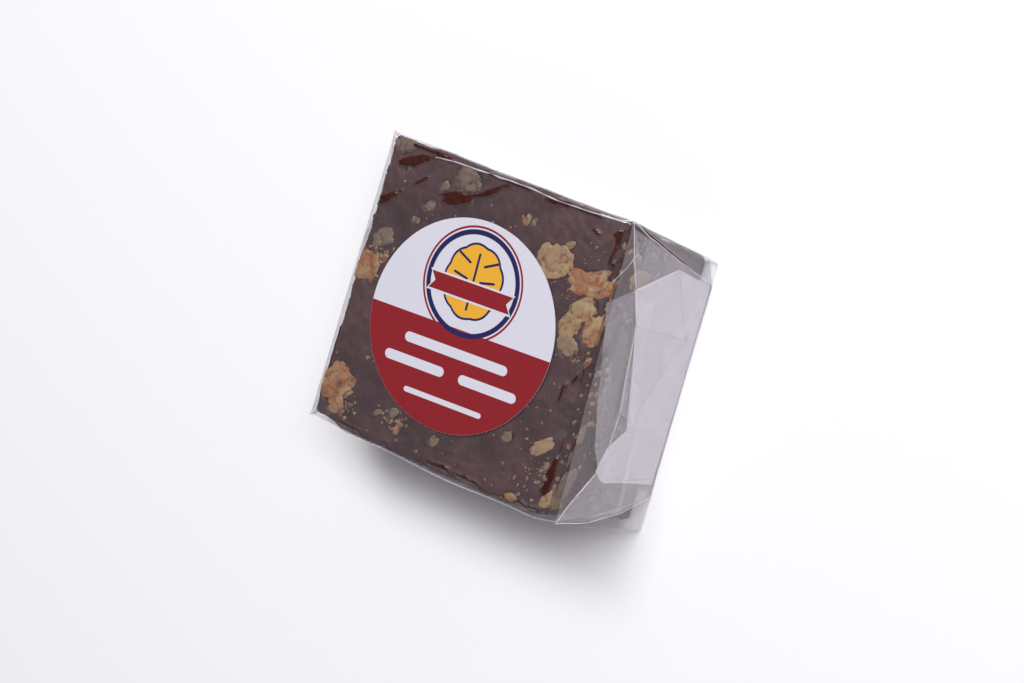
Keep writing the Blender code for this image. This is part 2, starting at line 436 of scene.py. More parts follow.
def makeFudge(material):
    shares, quads = latticeBox(fudge["counts"])
    verts, wet, hollowShade = [], [], []
    halves = (28.2, 29.0, (fudge["top"] - fudge["base"]) / 2)
    radius = fudge["edgeRadius"]
    for place in shares:
        ease = [mix(s, math.sin(s * math.pi / 2), 0.25) for s in place]   # finer towards the edges
        box = Vector(s * h for s, h in zip(ease, halves))
        inner = Vector(max(-h + radius, min(h - radius, v)) for v, h in zip(box, halves))
        out = box - inner
        outward = out.normalized() if out.length > 1e-6 else Vector((0, 0, 1))
        box = inner + outward * radius
        sx, sy, height = ((v / h + 1) / 2 for v, h in zip(box, halves))
        y = mix(fudge["near"], fudge["far"] - fudge["farSlant"] * (1 - height), sy)
        z = mix(fudge["base"], fudge["top"], height)
        x = mix(fudge["left"], fudgeRight(y, z), sx)
        onTop = smoothStep(0.55, 0.95, outward.z)
        onSide = 1 - abs(outward.z)
        # soft unevenness everywhere, stronger on the sides
        lump = wobble(x, y, z, 9.0, 3.1) * fudge["lump"] * (1 + onSide * 2.2)
        lump += wobble(x, y, z, 3.4, 7.7) * fudge["lump"] * (0.7 + onSide * 1.2)
        lump += wobble(x, y, z, 0.9, 1.9) * fudge["grain"] * 1.6
        # the knife and the film have dragged its face into low streaks
        bend = 1.4 * wobble(x, y, z, 14.0, 6.6)
        lump += fudge["drag"] * wobble(x * 0.35 + y * 0.5 * bend, y * 1.1 - x * 0.3 * bend, z, 2.4, 15.0)
        cover, hollow = 0.0, 0.0
        if onTop > 0:
            cover = smoothStep(0.02, 0.25, nutCover(x, y) + 0.25 * wobble(x, y, 0, 1.4, 2.0)) * onTop
            hollow = topHollow(x, y, z)
        ragged = 0.55 * wobble(x, y, z, 2.1, 9.0) + 0.40 * wobble(x, y, z, 0.8, 6.0)
        wetness = 0.5 + 1.3 * (wetnessAt(x, y, z, outward) + ragged)
        wetness = min(max(wetness, 0.0), 1.0) * (1 - cover)
        out = lump - hollow - cover * fudge["pocketDepth"]
        if outward.z > 0:
            z = min(z + outward.z * out, fudge["ceiling"])
        else:
            z += max(0, outward.z * out * 0.2)
        # where the film clings, the soft fudge is drawn right up to it
        z = mix(z, fudge["clingHeight"], onTop * smoothStep(0.42, 0.60, wetness))
        x += outward.x * lump
        y += outward.y * lump
        if outward.y < 0:
            swell = math.exp(-((z - fudge["bulgeHeight"]) / fudge["bulgeWidth"]) ** 2)
            y += outward.y * fudge["nearBulge"] * swell * smoothStep(-27, -20, x) * smoothStep(31, 24, x)
        verts.append(at(x, y, max(z, 0.25)))
        wet.append(wetness)
        # painted shade: the hollows' depth, which darkens the knife drags, the crack and the pits
        hollowShade.append(min(1.0, hollow * 1.6))
    piece = addMesh("fudgeBlock", verts, quads, material)
    setAttribute(piece, "wet", wet)
    setAttribute(piece, "hollowShade", hollowShade)
    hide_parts("wrapped_fudge")


# the pit colour is painted shade for the hollows; the others are the fudge's own tones
fudgeColours = dict(
    dry=(0.070, 0.028, 0.030), dark=(0.038, 0.015, 0.015), warm=(0.104, 0.044, 0.040),
    wet=(0.034, 0.0056, 0.0032), wetWarm=(0.058, 0.0135, 0.0075),
    pit=(0.022, 0.012, 0.012), crumb=(0.21, 0.14, 0.115),
)


def makeFudgeMaterial():
    material, graph, shader, output = newMaterial("chocolateFudge")
    grain = graph.group(grainGroup, 160.0, 1500.0).outputs
    patch = graph.group(grainGroup, 45.0, 420.0).outputs
    base = graph.mix(graph.ramp(grain["Coarse"], 0.36, 0.66), fudgeColours["dark"], fudgeColours["dry"])
    base = graph.mix(graph.ramp(patch["Coarse"], 0.46, 0.66, 0.0, 0.85), base, fudgeColours["warm"])
    base = graph.mix(graph.ramp(patch["Fine"], 0.50, 0.36, 0.0, 0.65), base, fudgeColours["dark"])
    flecks = graph.calc("MULTIPLY", graph.ramp(grain["Speck"], 0.10, 0.02, 0.0, 0.5),
                        graph.ramp(patch["Fine"], 0.52, 0.66))
    base = graph.mix(flecks, base, fudgeColours["crumb"])
    # painted shade in the hollows: the knife drags, the crack and the pits darken towards the pit colour
    base = graph.mix(graph.calc("MULTIPLY", graph.attribute("hollowShade"), 0.75), base, fudgeColours["pit"])
    # the wet patches, with a ragged edge
    wet = graph.calc("ADD", graph.attribute("wet"), graph.swing(patch["Fine"], 0.5))
    wet = graph.ramp(wet, 0.46, 0.56)
    wetTone = graph.mix(graph.ramp(patch["Fine"], 0.40, 0.62), fudgeColours["wet"], fudgeColours["wetWarm"])
    graph.feed(shader.inputs["Base Color"], graph.mix(wet, base, wetTone))
    rough = graph.calc("SUBTRACT", graph.ramp(grain["Fine"], 0.3, 0.7, 0.46, 0.66),
                       graph.calc("MULTIPLY", wet, 0.40))
    graph.feed(shader.inputs["Roughness"], rough)
    shader.inputs["Specular IOR Level"].default_value = 0.35
    height = graph.calc("ADD", graph.calc("MULTIPLY", grain["Fine"], 0.5), patch["Fine"])
    graph.bump(shader, height, 0.35, 0.00025)
    return material


def nutShape(kind, length, width, depth, seed, detail=4):
    # a lump with the folds and broken faces of a walnut piece, about its own middle
    ball = bmesh.new()
    bmesh.ops.create_icosphere(ball, subdivisions=detail, radius=1.0)
    for vert in ball.verts:
        point = vert.co.copy()
        if kind == "bar":
            square = Vector(math.copysign(abs(v) ** 0.42, v) for v in point)
            swell = 1.0 + 0.05 * wobble(*(point * 3), 1.0, seed)
        else:
            square = Vector(math.copysign(abs(v) ** 0.85, v) for v in point)
            swell = 1.06 + 0.38 * wobble(*point, 0.95, seed) + 0.16 * wobble(*point, 0.42, seed + 5)
            fold = abs(wobble(*point, 0.80, seed + 9))
            swell -= 0.16 * smoothStep(0.14, 0.0, fold)   # the furrows between a nut's folds
        vert.co = Vector((square.x * length / 2, square.y * width / 2, square.z * depth / 2)) * swell
    return ball


def nutPiece(kind, place, length, width, turn, skin, grey, seed, limit, detail=4, depth=None):
    # place and turn map the lump's own axes to the block; limit keeps it just under the film
    ball = nutShape(kind, length, width, depth or max(1.5, width * 0.62), seed, detail)
    verts, skinAndFurrowShade, greys, smears = [], [], [], []
    for vert in ball.verts:
        point = limit(turn @ vert.co + place)
        verts.append(point)
        smear = 0.9 * wobble(*point, 1.7, 12.0) + 0.5 * wobble(*point, 0.6, 17.0)
        smear = 0.38 + (rimHeight(point) + 0.12 * smear) * 1.5
        smears.append(min(max(smear, 0.0), 1.0) if length > 1.4 else 0.0)
        patch = wobble(*(vert.co / max(length, 0.1) * 3.2), 1.0, seed + 20)
        # the brown skin share is raised in the furrows as painted shade, darkest in the deepest folds
        furrow = nutRelief(*point)
        skinAndFurrowShade.append(min(1.3, max(0.0, skin + 0.7 * patch + 0.8 * (furrow - 0.25))))
        greys.append(grey)
    faces = [[v.index for v in face.verts] for face in ball.faces]
    ball.free()
    return verts, faces, skinAndFurrowShade, greys, smears


def rimHeight(point):
    # above nought where a nut sinks below the block's own faces and the fudge smears over it
    return min(fudge["top"] - point.z, point.z - fudge["base"], fudgeRight(point.y, point.z) - point.x,
               point.x - fudge["left"], farFace(point.z) - point.y, point.y - fudge["near"])


def joinNuts(name, parts, material):
    verts, faces = [], []
    # the skin tone holds the brown skin share and the painted furrow shade
    tones = dict(skin=[], grey=[], smear=[])
    for partVerts, partFaces, *partTones in parts:
        first = len(verts)
        verts += [at(*point) for point in partVerts]
        faces += [[first + index for index in face] for face in partFaces]
        for values, added in zip(tones.values(), partTones):
            values += added
    piece = addMesh(name, verts, faces, material)
    for tone, values in tones.items():
        setAttribute(piece, tone, values)
    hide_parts("wrapped_fudge")
    print(name, len(faces), "triangles")


def nutRelief(x, y, z):
    # 0 on a nut's ridges and 1 in its furrows
    ridge = abs(wobble(x, y, 0, 3.4, 31.0)) * 3.6
    return min(max(0.62 - ridge + 0.45 * wobble(x, y, z, 1.1, 23.0), 0.0), 1.0)


def underTop(sink):
    def limit(point):
        ceiling = filmTop - 0.02 - sink * 0.25 - 0.50 * nutRelief(*point) * (sink >= 0)
        over = point.z - (ceiling - 0.5)
        if over > 0:   # squashed against the film, but with some of its relief left
            point.z = ceiling - 0.5 + 0.5 * math.tanh(over / 1.0)
        point.x = min(max(point.x, -27.15), fudgeRight(point.y) + 0.35)
        point.y = min(max(point.y, -28.1), 30.5)
        return point
    return limit


def underEnd(point):
    face = fudgeRight(point.y, point.z) + 0.75
    over = point.x - (face - 0.6)
    if over > 0:
        point.x = face - 0.6 + 0.6 * math.tanh(over / 1.2)
    point.z = min(point.z, 25.6)
    point.y = max(point.y, -27.9)
    return point


def makeNuts(material):
    parts = []
    for number, (kind, x, y, length, width, angle, skin, grey, sink) in enumerate(nuts):
        place = Vector((x, y, fudge["top"] - 0.07 * width - sink))
        detail = 5 if length > 8 else 4 if length > 4 else 3
        parts.append(nutPiece(kind, place, length, width, turned(angle, "Z"), skin, grey, 11.3 * number + 2,
                              underTop(sink), detail))
    for number, (y, z, length, width, angle, skin, grey) in enumerate(endNuts):
        turn = turned(90, "Y") @ turned(angle, "Z")
        place = Vector((fudgeRight(y, z) - 0.2, y, z))
        parts.append(nutPiece("walnut", place, length, width, turn, skin, grey, 7.1 * number + 90, underEnd))
    rng = random.Random(17)
    for side, rows in sideNuts.items():
        for along, up, length, width, skin, grey in rows:
            turn = Matrix.Rotation(rng.uniform(0, 3), 3, "Y") @ turned(90, "X")
            if side == "left":
                turn = turned(90, "Z") @ turn
            if side == "base":
                turn = Matrix.Rotation(rng.uniform(0, 3), 3, "Z")
            parts.append(nutPiece("walnut", sidePlace(side, along, up), length, width, turn, skin, grey,
                                  rng.uniform(0, 90), sideLimits[side]))
    joinNuts("walnutPieces", parts, material)


# crumbs: x, y, spread, how many, largest size, share with brown skin
crumbFields = [
    (0, 2, 29, 420, 0.8, 0.25), (-9, -22.5, 3.6, 46, 1.1, 0.35), (26.2, -20.5, 3.2, 44, 1.0, 0.25),
    (-20.5, -24.5, 3.4, 40, 1.1, 0.2), (-22.5, 7.5, 3.8, 40, 1.0, 0.3), (27.0, 4.0, 3.4, 44, 1.0, 0.6),
    (22.0, -24.6, 5.5, 40, 0.9, 0.4), (29.2, -22.5, 2.4, 26, 1.0, 0.4), (-18.6, -13.0, 2.6, 26, 0.9, 0.4),
    (24.0, 22.4, 3.6, 20, 0.7, 0.3), (-14, 21, 5.5, 26, 0.8, 0.2), (3.0, -25.6, 7.0, 34, 0.7, 0.5),
    (22.5, -18.0, 5.0, 26, 0.8, 0.3), (17.2, 15.8, 2.6, 20, 0.8, 0.2), (20.5, 13.5, 2.4, 22, 0.7, 0.5),
]
endCrumbs = 120   # more of them on the cut end, under the slack film


def makeCrumbs(material):
    rng = random.Random(41)
    parts = []
    for fieldX, fieldY, spread, count, largest, skinShare in crumbFields:
        for crumb in range(count):
            x = fieldX + rng.gauss(0, spread / 2)
            y = fieldY + rng.gauss(0, spread / 2)
            size = largest * (0.22 + 0.78 * rng.random() ** 2.2)
            angle = rng.uniform(0, 180)
            skin = 0.85 if rng.random() < skinShare else rng.uniform(0.0, 0.3)
            grey = rng.uniform(0.2, 1.0)
            onFace = -26.6 < x < fudgeRight(y) - 0.2 and -27.4 < y < 29.8
            if not onFace or math.hypot(x, y) < 19:   # off the face, or well under the sticker
                continue
            place = Vector((x, y, fudge["top"] + 0.08 + size * 0.05))
            width, seed = size * rng.uniform(0.5, 0.95), rng.uniform(0, 90)
            parts.append(nutPiece("walnut", place, size, width, turned(angle, "Z"), skin, grey, seed,
                                  underTop(-0.1), 2 if size > 0.5 else 1, max(0.4, size * 0.8)))
    for crumb in range(endCrumbs):
        y, z, size = rng.uniform(-26, 26), 25.4 - 15 * rng.random() ** 1.6, rng.uniform(0.35, 1.5)
        turn = turned(90, "Y") @ Matrix.Rotation(rng.uniform(0, 3), 3, "Z")
        place = Vector((fudgeRight(y, z) + 0.05, y, z))
        parts.append(nutPiece("walnut", place, size, size * rng.uniform(0.5, 0.95), turn, rng.uniform(0, 0.7),
                              rng.uniform(0.3, 1.0), rng.uniform(0, 90), underEnd, 2, max(0.4, size * 0.7)))
    joinNuts("nutCrumbs", parts, material)


nutColours = dict(
    flesh=(0.40, 0.262, 0.118), pale=(0.33, 0.215, 0.118), skin=(0.33, 0.152, 0.064),
    amber=(0.30, 0.085, 0.014), paintedFoldShade=(0.13, 0.042, 0.014), grey=(0.118, 0.092, 0.074),
)


def makeNutMaterial():
    material, graph, shader, output = newMaterial("walnutMeat")
    grain = graph.group(grainGroup, 420.0, 2200.0).outputs
    seams = graph.group(grainGroup, 260.0, 700.0).outputs
    tone = graph.mix(graph.ramp(grain["Coarse"], 0.38, 0.62), nutColours["flesh"], nutColours["pale"])
    # the skin value is the brown skin share with painted shade added in the furrows
    edge = graph.calc("ADD", graph.attribute("skin"), graph.swing(grain["Coarse"], 0.9))
    tone = graph.mix(graph.ramp(edge, 0.34, 0.70), tone, nutColours["skin"])
    # amber seams where the skin meets the broken flesh, and painted shade darkening the deepest folds
    thin = graph.calc("ABSOLUTE", graph.calc("SUBTRACT", seams["Coarse"], 0.5))
    amber = graph.calc("MULTIPLY", graph.ramp(thin, 0.05, 0.005), graph.ramp(edge, 0.20, 0.50))
    tone = graph.mix(amber, tone, nutColours["amber"])
    tone = graph.mix(graph.ramp(edge, 0.95, 1.25, 0.0, 0.8), tone, nutColours["paintedFoldShade"])
    tone = graph.mix(graph.calc("MULTIPLY", graph.attribute("grey"), 0.85), tone, nutColours["grey"])
    tone = graph.mix(1.0, tone, graph.ramp(grain["Fine"], 0.25, 0.75, 0.78, 1.14), "MULTIPLY")
    smear = graph.calc("ADD", graph.attribute("smear"), graph.swing(grain["Fine"], 0.7))
    tone = graph.mix(graph.ramp(smear, 0.34, 0.66), tone, fudgeColours["dark"])
    graph.feed(shader.inputs["Base Color"], tone)
    graph.feed(shader.inputs["Roughness"], graph.ramp(grain["Fine"], 0.3, 0.7, 0.36, 0.6))
    shader.inputs["Specular IOR Level"].default_value = 0.4
    height = graph.calc("ADD", grain["Coarse"], graph.calc("MULTIPLY", grain["Fine"], 0.35))
    graph.bump(shader, height, 0.25, 0.0003)
    return material


film = dict(
    thickness=0.035, gap=0.055, cornerRadius=1.1, wrapSteps=64,
    bandBulge=1.5, bandHeight=22.8, bandWidth=3.4,
    crumple=0.09, facetSize=2.0,
)
# corners of each folded end: far top, near top, far base, near base
looseEnd = dict(
    farTop=(29.9, 31.2, 26.05), nearTop=(33.3, -28.8, 26.05),
    farBase=(36.0, 26.1, 0.1), nearBase=(37.6, -29.2, 0.1), side=1,
)
tightEnd = dict(
    farTop=(-27.45, 31.0, 26.05), nearTop=(-27.55, -28.6, 26.05),
    farBase=(-30.4, 27.0, 0.1), nearBase=(-30.9, -28.6, 0.1), side=-1,
)


def makeFilmMaterial(name, haze, roughness, crinkle):
    material, graph, shader, output = newMaterial(name)
    graph.nodes.remove(shader)
    clear = graph.add("ShaderNodeBsdfTransparent", Color=(0.985, 0.985, 0.99, 1))
    gloss = graph.add("ShaderNodeBsdfGlossy", Color=(1, 0.97, 1, 1), Roughness=roughness)
    cloud = graph.add("ShaderNodeBsdfDiffuse", Color=(0.98, 0.94, 0.98, 1))
    bent = graph.group(crinkleGroup, crinkle).outputs["Normal"]
    # both faces of the sheet mirror like its outer face
    facing = graph.nodes.new("ShaderNodeNewGeometry")
    mirror = graph.nodes.new("ShaderNodeFresnel")
    graph.feed(mirror.inputs["IOR"], graph.ramp(facing.outputs["Backfacing"], 0.0, 1.0, 1.52, 1 / 1.52))
    graph.feed(mirror.inputs["Normal"], bent)
    graph.feed(gloss.inputs["Normal"], bent)
    shine = graph.blend(mirror.outputs["Fac"], clear, gloss)
    graph.feed(output.inputs["Surface"], graph.blend(haze, shine, cloud).outputs[0])
    return material


def thicken(piece):
    solid = piece.modifiers.new("filmThickness", "SOLIDIFY")
    solid.thickness = film["thickness"] * mm
    solid.offset = 0.0
    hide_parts("wrapped_fudge")


def wrapSection():
    # the outline round the block, as shares of its width and its height
    radiusY, radiusZ = film["cornerRadius"] / faceWidth, film["cornerRadius"] / filmTop
    centres = [(1 - radiusY, 1 - radiusZ), (radiusY, 1 - radiusZ), (radiusY, radiusZ), (1 - radiusY, radiusZ)]
    points = []
    for number, (cy, cz) in enumerate(centres):
        start = 90 * number
        for step in range(7):
            turn = math.radians(start + 15 * step)
            points.append((cy + radiusY * math.cos(turn), cz + radiusZ * math.sin(turn)))
        nextY, nextZ = centres[(number + 1) % 4]
        first = points[-1]
        last = (nextY + radiusY * math.cos(turn), nextZ + radiusZ * math.sin(turn))
        steps = 44 if number in (0, 2) else 20   # more along the two broad sides
        for step in range(1, steps):
            points.append((mix(first[0], last[0], step / steps), mix(first[1], last[1], step / steps)))
    return points


def endCorner(end, share, height):
    # a place on an end's ring: share runs from the far side to the near side
    top = Vector(end["farTop"]).lerp(Vector(end["nearTop"]), share)
    base = Vector(end["farBase"]).lerp(Vector(end["nearBase"]), share)
    return base.lerp(top, height)


def foldedPlace(end, share, depth):
    # a place on an end's plane, or on the broad face when the depth is below nought
    spot = endCorner(end, share, 1 - max(depth, 0))
    spot.x += end["side"] * filmTop * min(depth, 0)
    spot.z += 0.05 * (depth < 0)
    return spot


def makeFilmTube(material):
    outline = wrapSection()
    rows = film["wrapSteps"]
    verts = []
    for row in range(rows + 1):
        along = row / rows
        sag = smoothStep(0.0, 0.25, along) * smoothStep(1.0, 0.86, along)
        for yShare, height in outline:
            start = endCorner(tightEnd, 1 - yShare, height)
            finish = endCorner(looseEnd, 1 - yShare, height)
            x, y, z = start.lerp(finish, along)
            onNear = smoothStep(0.06, 0.0, yShare)
            onFar = smoothStep(0.94, 1.0, yShare)
            band = math.exp(-((z - film["bandHeight"]) / film["bandWidth"]) ** 2)
            y -= onNear * film["bandBulge"] * band * sag * (0.8 + 0.25 * math.sin(0.19 * x + 0.6))
            y += onFar * 0.12 * wobble(x, 0, z, 6.0, 2.0)
            z += 0.0 if height < 0.9 else film["crumple"] * 0.5 * (wobble(x, y, 0, 5.0, 8.0) - 0.3)
            verts.append(at(x, y, max(z, 0.06)))
    faces = gridFaces(rows, len(outline), ring=True)
    thicken(addMesh("filmTube", verts, faces, material))


def makeSheet(name, material, end, outline, creases, lift, seed, tilt):
    # a folded facetted sheet on an end: outline and crease corners are (share, depth) pairs
    points = [Vector(p) for p in outline + creases]
    rim = [(i, (i + 1) % len(outline)) for i in range(len(outline))]
    flat, edges, tris, *rest = geometry.delaunay_2d_cdt(points, rim, [], 1, 1e-5)
    rng = random.Random(seed)
    lifts = [lift + (rng.uniform(-tilt, tilt) if i >= len(outline) else rng.uniform(-tilt, tilt) * 0.4)
             for i in range(len(flat))]
    farTop = endCorner(end, 0, 1)
    normal = (endCorner(end, 1, 1) - farTop).cross(endCorner(end, 0, 0) - farTop).normalized()
    if normal.x * end["side"] < 0:
        normal = -normal
    sheet = bmesh.new()
    made = []
    for (share, depth), high in zip(flat, lifts):
        atEdge = smoothStep(0.0, 0.06, depth)
        spot = foldedPlace(end, share, depth) + normal * (high * atEdge + lift * (1 - atEdge)) * (depth >= 0)
        made.append(sheet.verts.new(at(*spot)))
    for tri in tris:
        sheet.faces.new([made[i] for i in tri])
    for step in range(2):
        long = [edge for edge in sheet.edges if edge.calc_length() > film["facetSize"] * mm]
        if long:
            bmesh.ops.subdivide_edges(sheet, edges=long, cuts=1, use_grid_fill=False)
            bmesh.ops.triangulate(sheet, faces=sheet.faces[:])

    for vert in sheet.verts:
        x, y, z = vert.co / mm
        vert.co += normal * mm * film["crumple"] * wobble(x, y, z, 3.0, seed * 1.7)
        vert.co.z = max(vert.co.z, packLow.z + 0.06 * mm)
    bmesh.ops.recalc_face_normals(sheet, faces=sheet.faces[:])
    data = bpy.data.meshes.new(name)
    sheet.to_mesh(data)
    sheet.free()
    data.materials.append(material)
    piece = bpy.data.objects.new(name, data)
    bpy.context.scene.collection.objects.link(piece)
    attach(piece, "root")
    thicken(piece)


creaseLine = [
    (-17.6, 28.9), (-15.0, 29.4), (-12.5, 29.6), (-6.5, 29.8), (0.0, 30.0),
    (5.9, 30.15), (11.8, 29.8), (19.0, 30.0), (27.2, 30.5), (29.6, 31.0),
]


def makeCrease(material):
    # the ridge that the film makes along the far top edge
    steps, around = 140, 8
    verts = []
    for step in range(steps + 1):
        place = step / steps * (len(creaseLine) - 1)
        first = min(int(place), len(creaseLine) - 2)
        (x0, y0), (x1, y1) = creaseLine[first], creaseLine[first + 1]
        x = mix(x0, x1, place - first)
        y = mix(y0, y1, place - first) + 0.10 * wobble(x, 0, 0, 2.6, 3.0)
        size = 0.09 * smoothStep(0, 0.12, step / steps) * (1 + 1.1 * wobble(x, 0, 0, 2.5, 9.0)) + 0.03
        for turn in range(around):
            angle = math.pi * turn / (around - 1)
            verts.append(at(x, y - size * math.cos(angle), filmTop + size * math.sin(angle)))
    thicken(addMesh("filmCrease", verts, gridFaces(steps, around), material))


# Each folded end's sheets, as (share along the edge, depth towards the base) corners, with loose
# creases inside them, how many film gaps deep they lie, how far they tilt and which film they are.
endSheets = dict(
    Flap=dict(
        outline=[(0, 0), (0.25, 0), (0.5, 0), (0.75, 0), (1, 0), (0.978, 0.346), (0.938, 0.70), (0.874, 0.99),
                 (0.814, 0.985), (0.36, 1.0), (0.084, 1.0), (0.067, 0.754), (0.045, 0.46), (0.024, 0.19)],
        creases=[(0.307, 0.291), (0.115, 0.20), (0.08, 0.594), (0.297, 0.893), (0.617, 0.465), (0.574, 0.594),
                 (0.816, 0.291), (0.814, 0.90), (0.93, 0.62)],
        depth=0, tilt=0.45, film="clear"),
    Overlay=dict(
        outline=[(0.275, -0.05), (0.36, 0.0), (0.444, 0.045), (0.60, 0.12), (0.732, 0.20), (0.81, 0.31),
                 (0.839, 0.372), (0.83, 0.98), (0.36, 1.0), (0.09, 0.99), (0.08, 0.594), (0.20, 0.189)],
        creases=[(0.3, 0.5), (0.6, 0.6)], depth=1.5, tilt=0.12, film="veil"),
    FarTuck=dict(
        outline=[(0.02, 0.03), (0.115, 0.10), (0.200, 0.189), (0.307, 0.291), (0.479, 0.401), (0.60, 0.97),
                 (0.36, 1.0), (0.084, 0.99), (0.045, 0.46)],
        creases=[(0.2, 0.6)], depth=3.0, tilt=0.12, film="veil"),
    Tuck=dict(
        outline=[(0.200, 0.189), (0.307, 0.291), (0.479, 0.401), (0.654, 0.505), (0.725, 0.337),
                 (0.806, 0.282), (0.839, 0.372), (0.83, 0.98), (0.36, 1.0), (0.09, 0.99), (0.08, 0.594)],
        creases=[(0.45, 0.7)], depth=4.5, tilt=0.12, film="white"),
    NearTuck=dict(
        outline=[(0.995, 0.01), (0.912, 0.119), (0.806, 0.282), (0.725, 0.337), (0.654, 0.505), (0.62, 0.97),
                 (0.87, 0.98), (0.938, 0.70)],
        creases=[(0.85, 0.6)], depth=3.5, tilt=0.12, film="veil"),
    FacetFar=dict(
        outline=[(0.307, 0.291), (0.08, 0.594), (0.297, 0.893)],
        creases=[], depth=5.5, tilt=0.10, film="faint"),
    FacetMiddle=dict(
        outline=[(0.307, 0.291), (0.297, 0.893), (0.574, 0.594), (0.617, 0.465)],
        creases=[], depth=2.2, tilt=0.10, film="faint"),
    FacetLow=dict(
        outline=[(0.574, 0.594), (0.654, 0.505), (0.806, 0.282), (0.839, 0.372), (0.80, 0.95), (0.66, 0.96)],
        creases=[], depth=2.6, tilt=0.10, film="veil"),
    FacetSliver=dict(
        outline=[(0.31, 0.27), (0.33, 0.36), (0.62, 0.50), (0.60, 0.36)],
        creases=[], depth=2.8, tilt=0.10, film="faint"),
)
# fold lines that show as fine pale ridges, real folds whose white haze is a painted highlight; each a run of
# (share, depth) places and a width
foldLines = [
    ([(0.0, 0.0), (0.024, 0.19), (0.045, 0.46), (0.067, 0.754), (0.084, 0.99)], 0.22),
    ([(1.0, 0.0), (0.978, 0.346), (0.938, 0.70), (0.874, 0.99)], 0.20),
    ([(1.0, 0.0), (0.912, 0.119), (0.806, 0.282)], 0.22),
    ([(0.0, 0.0), (0.115, 0.10), (0.200, 0.189), (0.307, 0.291)], 0.14),
    ([(0.20, 0.189), (0.08, 0.594)], 0.16),
    ([(0.08, 0.594), (0.297, 0.893), (0.307, 0.291)], 0.16),
    ([(0.31, 0.28), (0.60, 0.36), (0.725, 0.337)], 0.16),
    ([(0.31, 0.28), (0.45, 0.38), (0.62, 0.50)], 0.22),
    ([(0.839, 0.372), (0.814, 0.94)], 0.20),
    ([(0.297, 0.893), (0.574, 0.594), (0.654, 0.505)], 0.12),
    ([(0.21, -0.05), (0.14, 0.06), (0.09, 0.12)], 0.20),
]


def makeFoldLines(name, end, material):
    verts, faces = [], []
    for number, (run, width) in enumerate(foldLines):
        for start, finish in zip(run, run[1:]):
            a, b = foldedPlace(end, *start), foldedPlace(end, *finish)
            steps = max(3, int((b - a).length / 1.2))
            out = Vector((end["side"], 0, 0.16)).normalized()
            across = (b - a).cross(out).normalized()
            first = len(verts)
            for step in range(steps + 1):
                spot = a.lerp(b, step / steps)
                size = width / 2 * (1 + 0.7 * wobble(*spot, 2.5, 3.0 + number))
                spot += out * 0.12 + across * 0.10 * wobble(*spot, 2.0, 8.0)
                for side, lift in ((-1, 0.0), (0, 0.10), (1, 0.0)):   # a low ridge
                    corner = spot + across * size * side + out * lift
                    verts.append(at(corner.x, corner.y, max(corner.z, 0.08)))
            faces += gridFaces(steps, 3, first=first)
    thicken(addMesh(name, verts, faces, material))


def makeEnd(prefix, end, films):
    for number, (name, sheet) in enumerate(endSheets.items()):
        makeSheet(prefix + name, films[sheet["film"]], end, sheet["outline"], sheet["creases"],
                  -film["gap"] * sheet["depth"], 3 + 2 * number, sheet["tilt"])


def makeEars(prefix, end, material):
    # the slanting triangles between the side panels and the flap, and the tail under the base
    side = end["side"]
    farTop, farBase = Vector(end["farTop"]), Vector(end["farBase"])
    nearTop, nearBase = Vector(end["nearTop"]), Vector(end["nearBase"])
    flapFar, flapNear = endCorner(end, 0.084, 0), endCorner(end, 0.874, 0)
    farLow = farBase + Vector((-2.1 * side, 0, 0))
    steps = 10
    rowStart = [sum(steps + 1 - k for k in range(i)) for i in range(steps + 1)]
    for name, corners in (("FarEar", (farTop, farLow, flapFar)), ("NearEar", (nearTop, nearBase, flapNear))):
        verts, faces = [], []
        for i in range(steps + 1):
            for j in range(steps + 1 - i):
                u, v = i / steps, j / steps
                spot = corners[0] + (corners[1] - corners[0]) * u + (corners[2] - corners[0]) * v
                spot.x += 0.12 * wobble(*spot, 3.0, 6.0)
                verts.append(at(spot.x, spot.y, max(spot.z, 0.06)))
        for i in range(steps):
            for j in range(steps - i):
                a, b, c = rowStart[i] + j, rowStart[i] + j + 1, rowStart[i + 1] + j
                faces.append((a, b, c))
                if j < steps - i - 1:
                    faces.append((b, c + 1, c))
        thicken(addMesh(prefix + name, verts, faces, material))
    inward = Vector((-9 * side, 0, 0))
    inFar, inNear = flapFar + inward + Vector((0, -3, 0)), flapNear + inward + Vector((0, 3, 0))
    tail = [at(*spot) for spot in (flapFar, flapNear, inNear, inFar)]
    for spot in tail:
        spot.z = packLow.z + 0.035 * mm
    thicken(addMesh(prefix + "Tail", tail, [(0, 1, 2, 3)], material))


def makeSeam(material):
    # the lengthwise overlap of the film, under the base
    verts, faces = [], []
    steps = 60
    for step in range(steps + 1):
        x = mix(-27.0, 31.0, step / steps)
        for y in (-3.2, 4.4):
            verts.append(at(x, y + 0.35 * wobble(x, y, 0, 9.0, 3.0), 0.04))
    for step in range(steps):
        faces.append((2 * step, 2 * step + 2, 2 * step + 3, 2 * step + 1))
    thicken(addMesh("filmSeam", verts, faces, material))


sticker = dict(
    radius=21.15, thickness=0.10, lift=0.14, tilt=2.5,
    chordDrop=-0.7,       # the split between white and red, below the middle
    ink=0.012,
    ringCentre=(0.1, 8.6), ringRadius=11.4, ringWidth=0.42, innerGap=0.75, innerWidth=1.0,
    kernel=6.5, scallop=0.36, squash=0.45, kernelUp=0.4,
    # x, y, length and height of the plain bars
    bars=dict(A=(0.4, -5.4, 24.4, 2.0), B=(-8.2, -9.9, 14.2, 2.0),
              C=(9.2, -9.9, 13.6, 2.0), D=(0.2, -15.4, 18.5, 1.1)),
)
stickerColours = dict(
    white=(0.62, 0.61, 0.69), red=(0.235, 0.013, 0.019), navy=(0.016, 0.015, 0.082), gold=(0.74, 0.38, 0.033),
)


